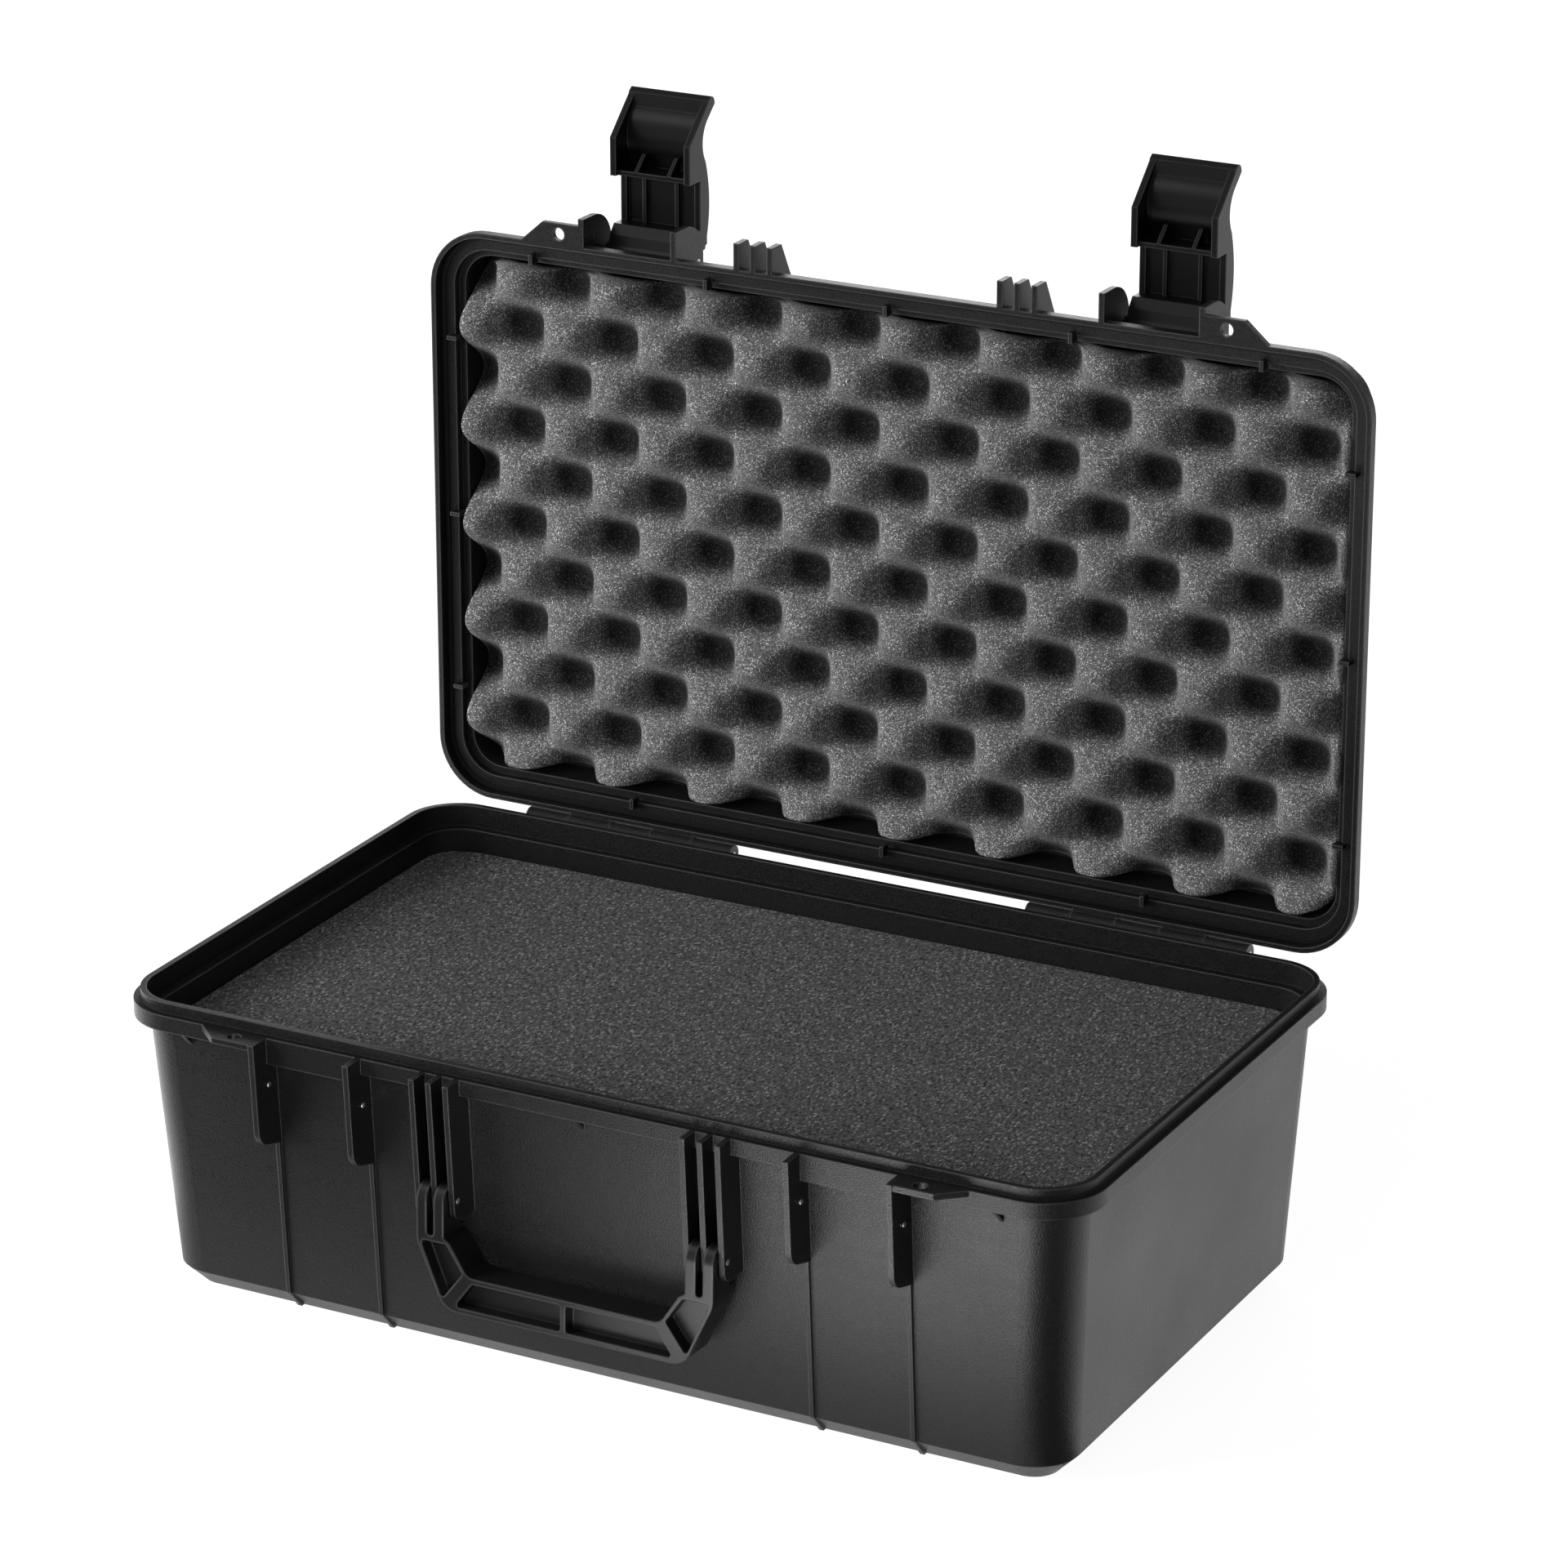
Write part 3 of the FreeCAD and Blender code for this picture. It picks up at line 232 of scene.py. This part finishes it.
def foam_cells_group():
    """Open-cell foam: uneven pores, and painted glints, bright spots in the colour where cut struts would
    catch the light.
    The nap says how far the cells are drawn out along each axis."""
    group, enter, leave = new_group(
        "foam_cells",
        [("Cell Size", "NodeSocketFloat", 1.2 * MM), ("Nap", "NodeSocketVector", (1, 1, 1))],
        [("Height", "NodeSocketFloat"), ("Tone", "NodeSocketFloat"), ("Glint", "NodeSocketFloat")])
    spot = place(group, "ShaderNodeVectorMath", {"operation": "DIVIDE"}, _0=object_place(group),
                 _1=enter.outputs["Nap"]).outputs[0]
    scale = math_node(group, "DIVIDE", 1.0, enter.outputs["Cell Size"])
    fuzz = place(group, "ShaderNodeTexNoise", Vector=spot, Scale=scale, Detail=2.0, Roughness=0.6)
    tone = ramp(group, fuzz.outputs[0], FOAM_TONE_LEVELS)
    struts = place(group, "ShaderNodeTexVoronoi", {"feature": "F1"}, Vector=spot,
                   Scale=math_node(group, "MULTIPLY", scale, STRUTS_PER_CELL))
    chance = place(group, "ShaderNodeSeparateColor", Color=struts.outputs["Color"])
    lit = ramp(group, chance.outputs[0], LIT_STRUT_LEVELS)
    lit = math_node(group, "POWER", lit, LIT_STRUT_POWER)
    near = ramp(group, struts.outputs["Distance"], STRUT_REACH)
    glint = math_node(group, "MULTIPLY", lit, near)
    group.links.new(fuzz.outputs[0], leave.inputs["Height"])
    group.links.new(tone, leave.inputs["Tone"])
    group.links.new(glint, leave.inputs["Glint"])
    return group


PEBBLE_GRAIN = pebble_grain_group()
SOFT_EDGES = soft_edges_group()
FOAM_CELLS = foam_cells_group()


# Materials
def new_material(name, roughness, metallic=0.0):
    material = bpy.data.materials.new(name)
    material.use_nodes = True
    tree = material.node_tree
    shader = tree.nodes["Principled BSDF"]
    shader.inputs["Roughness"].default_value = roughness
    shader.inputs["Metallic"].default_value = metallic
    return material, tree, shader


def moulded_plastic(name, tones, roughness, cell, depth, edge_radius, rubbed_and_highlight):
    """Black moulded plastic with grain, faint patches, and lighter edges that are partly rubbed wear and
    partly a painted edge highlight.
    """
    material, tree, shader = new_material(name, roughness[0])
    shader.inputs["Specular IOR Level"].default_value = PLASTIC_SPECULAR
    grain = place_group(tree, PEBBLE_GRAIN, Cell_Size=cell)
    edges = place_group(tree, SOFT_EDGES, Radius=edge_radius)
    # Painted shade of the grain: the colour is darker in the pebbles' hollows and lighter on their tops
    tone = mix_greys(tree, grain.outputs["Height"], *tones)
    # Lighter edges: partly rubbed wear, partly a painted edge highlight
    wear_and_highlight = mix_greys(tree, edges.outputs["Edge"], tone, rubbed_and_highlight)
    rough = ramp(tree, grain.outputs["Patch"], PATCH_LEVELS, roughness)
    bump = place(tree, "ShaderNodeBump", Strength=1.0, Distance=depth, Height=grain.outputs["Height"],
                 Normal=edges.outputs["Normal"])
    tree.links.new(wear_and_highlight, shader.inputs["Base Color"])
    tree.links.new(rough, shader.inputs["Roughness"])
    tree.links.new(bump.outputs[0], shader.inputs["Normal"])
    return material


def open_cell_foam(name, tones, painted_glint_level, pit_shade_level, cell, nap, depth):
    """Matt foam with pores, painted glints on cut struts, and painted shade that darkens it towards the
    bottoms of its pits.
    """
    material, tree, shader = new_material(name, FOAM_ROUGHNESS)
    shader.inputs["Specular IOR Level"].default_value = FOAM_SPECULAR
    shader.inputs["Sheen Weight"].default_value = FOAM_SHEEN
    shader.inputs["Sheen Roughness"].default_value = FOAM_SHEEN_ROUGHNESS
    cells = place_group(tree, FOAM_CELLS, Cell_Size=cell, Nap=nap)
    tone = mix_greys(tree, cells.outputs["Tone"], *tones)
    # Painted highlight: some struts are brightened in the colour as glints
    bright = mix_greys(tree, cells.outputs["Glint"], tone, painted_glint_level)
    pit = place(tree, "ShaderNodeAttribute", {"attribute_name": PIT}).outputs["Fac"]
    # Painted shade: the colour darkens towards the bottoms of the pits, standing in for the shade there
    shade = ramp(tree, pit, PIT_SHADE_LEVELS, (1.0, pit_shade_level), smooth=True)
    sunk = place(tree, "ShaderNodeVectorMath", {"operation": "SCALE"}, _0=bright, Scale=shade)
    bump = place(tree, "ShaderNodeBump", Strength=1.0, Distance=depth, Height=cells.outputs["Height"])
    tree.links.new(sunk.outputs[0], shader.inputs["Base Color"])
    tree.links.new(bump.outputs[0], shader.inputs["Normal"])
    return material


def scratched_steel(name, tones, roughness, scratches_per_metre, edge_radius):
    """Bare steel with fine scratches and softened ends."""
    material, tree, shader = new_material(name, roughness[0], metallic=1.0)
    scratches = place(tree, "ShaderNodeTexNoise", Vector=object_place(tree),
                      Scale=scratches_per_metre, Detail=4.0).outputs[0]
    tone = mix_greys(tree, scratches, *tones)
    rough = ramp(tree, scratches, results=roughness)
    edges = place_group(tree, SOFT_EDGES, Radius=edge_radius)
    tree.links.new(edges.outputs["Normal"], shader.inputs["Normal"])
    tree.links.new(tone, shader.inputs["Base Color"])
    tree.links.new(rough, shader.inputs["Roughness"])
    return material


SLOT_LOOKS = {
    "shell_plastic": moulded_plastic(
        "shell_pebble_plastic", tones=(0.004, 0.017), roughness=(0.34, 0.42),
        cell=0.6 * MM, depth=0.1 * MM, edge_radius=0.8 * MM, rubbed_and_highlight=0.065),
    "latch_plastic": moulded_plastic(
        "latch_satin_plastic", tones=(0.003, 0.005), roughness=(0.32, 0.4),
        cell=0.6 * MM, depth=0.01 * MM, edge_radius=0.8 * MM, rubbed_and_highlight=0.04),
    "handle_plastic": moulded_plastic(
        "handle_satin_plastic", tones=(0.008, 0.012), roughness=(0.34, 0.42),
        cell=0.6 * MM, depth=0.01 * MM, edge_radius=1.4 * MM, rubbed_and_highlight=0.05),
    "seal_rubber": moulded_plastic(
        "seal_rubber", tones=(0.004, 0.007), roughness=(0.6, 0.7),
        cell=0.5 * MM, depth=0.01 * MM, edge_radius=0.3 * MM, rubbed_and_highlight=0.015),
    "lid_foam": open_cell_foam(
        "lid_open_cell_foam", tones=(0.03, 0.23), painted_glint_level=1.0, pit_shade_level=0.1,
        cell=0.75 * MM, nap=(1, 1, 1), depth=0.2 * MM),
    "base_foam": open_cell_foam(
        "base_open_cell_foam", tones=(0.01, 0.2), painted_glint_level=0.52, pit_shade_level=1.0,
        cell=1.3 * MM, nap=(1, 2, 1), depth=0.25 * MM),
    "pin_steel": scratched_steel(
        "pin_steel", tones=(0.55, 0.75), roughness=(0.22, 0.42),
        scratches_per_metre=900.0, edge_radius=1.2 * MM),
}


def dress_cad_nodes():
    for subpart in frame["record"]["subparts"]:
        mesh = frame["nodes"][subpart["node"]].data
        mesh.materials.clear()
        mesh.materials.append(SLOT_LOOKS[subpart["material_slot"]])


# Foam
def rounded_place(rim, left_right, front_back):
    """Across and along on a rounded rectangle, from two shares between -1 and 1."""
    half_width, half_depth, corner = rim
    along = half_depth * front_back
    past = abs(along) - (half_depth - corner)
    if past > 0:
        half_width += math.sqrt(max(corner ** 2 - past ** 2, 0)) - corner
    return half_width * left_right, along


def foam_piece(name, rims, top, step, settle):
    """A closed block of foam: a fine grid on top, then rings of rim size and height down to a flat back.
    top gives a height from across and along where a rim has none, and settle turns across, along and
    height into a place."""
    columns = round(2 * rims[0][0][0] / step)
    rows = round(2 * rims[0][0][1] / step)
    shares = [[(2 * column / columns - 1, 2 * row / rows - 1) for column in range(columns + 1)]
              for row in range(rows + 1)]
    border = shares[0][:-1] + [line[-1] for line in shares[:-1]]
    border += shares[-1][:0:-1] + [line[0] for line in shares[:0:-1]]
    mesh = bmesh.new()
    grids = []
    for rim, height in (rims[0], rims[-1]):
        grid = {}
        for share in sum(shares, []):
            across, along = rounded_place(rim, *share)
            level = top(across, along) if height is None else height
            grid[share] = mesh.verts.new(settle(across, along, level))
        grids.append(grid)
    rings = [[grids[0][share] for share in border]]
    for rim, height in rims[1:-1]:
        rings.append([mesh.verts.new(settle(*rounded_place(rim, *share), height)) for share in border])
    rings.append([grids[1][share] for share in border])
    for grid in grids:
        for near, far in zip(shares, shares[1:]):
            for column in range(columns):
                corners = (near[column], near[column + 1], far[column + 1], far[column])
                mesh.faces.new([grid[share] for share in corners])
    for upper, lower in zip(rings, rings[1:]):
        for index in range(len(border)):
            mesh.faces.new([upper[index - 1], upper[index], lower[index], lower[index - 1]])
    bmesh.ops.recalc_face_normals(mesh, faces=mesh.faces)
    data = bpy.data.meshes.new(name)
    mesh.to_mesh(data)
    mesh.free()
    data.polygons.foreach_set("use_smooth", [True] * len(data.polygons))
    return add_object(name, data)


def dress_foam(piece, body, node, slot):
    piece.data.materials.append(SLOT_LOOKS[slot])
    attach(piece, body)
    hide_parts(node)


def lid_place(across, along, depth):
    """Row-frame place of a point in the open lid.
    along runs from the middle towards the hinge, and depth from the rim into the lid."""
    forward = along - HINGE_DEPTH
    above = depth + RIM_ABOVE_HINGE
    return Vector((across,
                   HINGE_DEPTH + forward * math.cos(LID_OPEN) + above * math.sin(LID_OPEN),
                   HINGE_HEIGHT - forward * math.sin(LID_OPEN) + above * math.cos(LID_OPEN)))


def egg_crate_wave(across, along):
    """From -1 on a peak to 1 in a pit."""
    swing = math.cos(math.pi * (across - WAVE_SHIFT_ACROSS) / WAVE_ACROSS)
    steep = math.tanh(WAVE_STEEPNESS * swing) / math.tanh(WAVE_STEEPNESS)
    return steep * math.cos(math.pi * (along - WAVE_SHIFT_ALONG) / WAVE_ALONG)


def egg_crate_depth(across, along):
    return LID_FOAM_MIDDLE + LID_FOAM_WAVE * egg_crate_wave(across, along)


def add_lid_foam():
    """The egg-crate sheet, with each point's share of the way from peak to pit kept for the painted shade
    in its pits.
    """
    rim = (LID_FOAM_HALF_WIDTH, LID_FOAM_HALF_DEPTH, LID_FOAM_CORNER)
    depths = []

    def settle(across, along, depth):
        depths.append(depth)
        return lid_place(across, along, depth)

    piece = foam_piece("lid_egg_crate_foam", [(rim, None), (rim, LID_FOAM_BACK)], egg_crate_depth,
                       LID_FOAM_STEP, settle)
    sunk = [(depth - LID_FOAM_MIDDLE) / LID_FOAM_WAVE for depth in depths]
    pits = piece.data.attributes.new(PIT, "FLOAT", "POINT")
    pits.data.foreach_set("value", [min(max(0.5 + 0.5 * share, 0), 1) for share in sunk])
    dress_foam(piece, "lid", "lid_foam", "lid_foam")


def base_foam_height(top):
    """A cut top that is nearly flat."""
    def height(across, along):
        spot = (SWELLS_PER_METRE * across, SWELLS_PER_METRE * along, top)
        return top + BASE_FOAM_SWELL * noise.noise(spot)

    return height


def block_levels(solid):
    """Half width, half depth and height of a CAD block at each of its heights, from the top down."""
    corners = [solid.matrix_world @ vertex.co for vertex in solid.data.vertices]
    levels = []
    for height in sorted({round(corner.z, HEIGHT_DIGITS) for corner in corners}, reverse=True):
        ring = [corner for corner in corners if abs(corner.z - height) < BASE_FOAM_SWELL]
        levels.append((max(corner.x for corner in ring), max(corner.y for corner in ring), height))
    return levels


def add_base_foam(name, node):
    """A block inside the tapered walls, as large as its CAD block, with a softened top edge."""
    (wide, deep, top), *lower_levels = block_levels(frame["nodes"][node])
    rims = [((wide - BASE_FOAM_SOFT, deep - BASE_FOAM_SOFT, BASE_FOAM_CORNER), None)]
    for inset, drop in SOFT_EDGE_SHARES:
        rim = (wide - inset * BASE_FOAM_SOFT, deep - inset * BASE_FOAM_SOFT, BASE_FOAM_CORNER)
        rims.append((rim, top - drop * BASE_FOAM_SOFT))
    for half_width, half_depth, height in lower_levels:
        rims.append(((half_width, half_depth, BASE_FOAM_CORNER), height))
    piece = foam_piece(name, rims, base_foam_height(top - BASE_FOAM_SWELL), BASE_FOAM_STEP,
                       lambda across, along, height: Vector((across, along, height)))
    dress_foam(piece, "base", node, "base_foam")


# Studio
def bare_material(name):
    """A material without a shader, its tree, and the socket that takes one."""
    material = bpy.data.materials.new(name)
    material.use_nodes = True
    tree = material.node_tree
    tree.nodes.remove(tree.nodes["Principled BSDF"])
    return material, tree, tree.nodes["Material Output"].inputs["Surface"]


def add_floor():
    """A floor that is painted grey for the light, and glows white where it is seen."""
    mesh = bmesh.new()
    bmesh.ops.create_grid(mesh, x_segments=1, y_segments=1, size=FLOOR_HALF_SIZE)
    data = bpy.data.meshes.new("studio_floor")
    mesh.to_mesh(data)
    mesh.free()
    floor = add_object("studio_floor", data)
    material, tree, surface = bare_material("studio_floor_white")
    path = place(tree, "ShaderNodeLightPath")
    seen = math_node(tree, "MAXIMUM", path.outputs["Is Camera Ray"], path.outputs["Is Glossy Ray"])
    seen = math_node(tree, "MAXIMUM", seen, path.outputs["Is Transmission Ray"])
    paint = place(tree, "ShaderNodeBsdfDiffuse", Color=grey(FLOOR_PAINT))
    away = place(tree, "ShaderNodeVectorMath", {"operation": "LENGTH"}, _0=object_place(tree))
    level = ramp(tree, away.outputs["Value"], FLOOR_GLOW_RISE, (FLOOR_GLOW, WHITE), smooth=True)
    glow = place(tree, "ShaderNodeEmission", Color=grey(WHITE),
                 Strength=math_node(tree, "MULTIPLY", seen, level))
    both = place(tree, "ShaderNodeAddShader", _0=paint.outputs[0], _1=glow.outputs[0])
    tree.links.new(both.outputs[0], surface)
    data.materials.append(material)


def add_card(name, across, along, level):
    """A card on the floor that shows only in reflections."""
    left, right = across
    front, back = along
    corners = [(x, y, CARD_HEIGHT) for x, y in ((left, front), (right, front), (right, back), (left, back))]
    data = bpy.data.meshes.new(name)
    data.from_pydata(corners, [], [(0, 1, 2, 3)])
    card = add_object(name, data)
    material, tree, surface = bare_material(name)
    glow = place(tree, "ShaderNodeEmission", Color=grey(WHITE), Strength=level)
    tree.links.new(glow.outputs[0], surface)
    data.materials.append(material)
    card.visible_camera = False
    card.visible_diffuse = False
    card.visible_shadow = False
    card.visible_transmission = False


def add_world():
    """A sky that is white where it is seen, and faint in reflections and as light."""
    world = bpy.data.worlds.new("studio")
    bpy.context.scene.world = world
    world.use_nodes = True
    tree = world.node_tree
    background = tree.nodes["Background"]
    path = place(tree, "ShaderNodeLightPath")
    seen = math_node(tree, "MAXIMUM", path.outputs["Is Camera Ray"], path.outputs["Is Transmission Ray"])
    strength = ramp(tree, seen, results=(SKY_LIGHT, WHITE))
    mirrored = math_node(tree, "MULTIPLY", path.outputs["Is Glossy Ray"], SKY_MIRRORED)
    background.inputs["Color"].default_value = grey(WHITE)
    tree.links.new(math_node(tree, "MAXIMUM", strength, mirrored), background.inputs["Strength"])


def add_softbox(name, spot, aim, width, height, power, mirrored=True, matt=True):
    """A rectangular light; mirrored and matt say whether it shows in reflections and on matt surfaces."""
    light = bpy.data.lights.new(name, "AREA")
    light.shape = "RECTANGLE"
    light.size = width
    light.size_y = height
    light.energy = power
    lamp = add_object(name, light)
    lamp.visible_glossy = mirrored
    lamp.visible_diffuse = matt
    lamp.location = spot
    lamp.rotation_euler = (Vector(aim) - Vector(spot)).to_track_quat("-Z", "Y").to_euler()


dress_cad_nodes()
add_lid_foam()
add_base_foam("base_top_foam", "base_foam_upper")
add_base_foam("base_middle_foam", "base_foam_lower")
add_base_foam("base_floor_foam", "base_floor_pad")
add_camera()
add_floor()
add_world()
add_softbox("left_softbox", spot=(-1.6, -1.4, 0.75), aim=(0, 0, 0.25), width=1.2, height=1.2, power=52,
            mirrored=False)
add_softbox("front_softbox", spot=(0.2, -2.05, 1.15), aim=(0, 0, 0.25), width=1.0, height=1.0, power=13,
            mirrored=False)
add_softbox("top_softbox", spot=(-0.9, -0.85, 1.75), aim=(0, 0, 0.1), width=0.8, height=0.8, power=4,
            matt=False)
add_softbox("left_strip", spot=(-2.2, -0.5, 0.5), aim=(0, 0, 0.2), width=0.5, height=1.4, power=8,
            matt=False)
add_softbox("back_softbox", spot=(-0.6, 2.3, 1.2), aim=(0, 0.1, 0.3), width=1.6, height=1.0, power=24)
add_card("front_card", across=(-0.035, 0.22), along=(-0.62, -0.24), level=8.5)
add_card("left_card", across=(-0.9, -0.045), along=(-0.62, -0.21), level=0.2)
add_card("edge_card", across=(-1.6, -0.3), along=(-0.2, 0.6), level=2.5)
add_card("corner_card", across=(0.23, 0.7), along=(-0.62, -0.10), level=0.2)
add_card("side_card", across=(0.24, 1.0), along=(-0.09, 1.0), level=1.3)
add_card("far_card", across=(-2.2, 1.2), along=(-3.0, -0.63), level=0.05)

bpy.context.scene.view_settings.view_transform = "Standard"
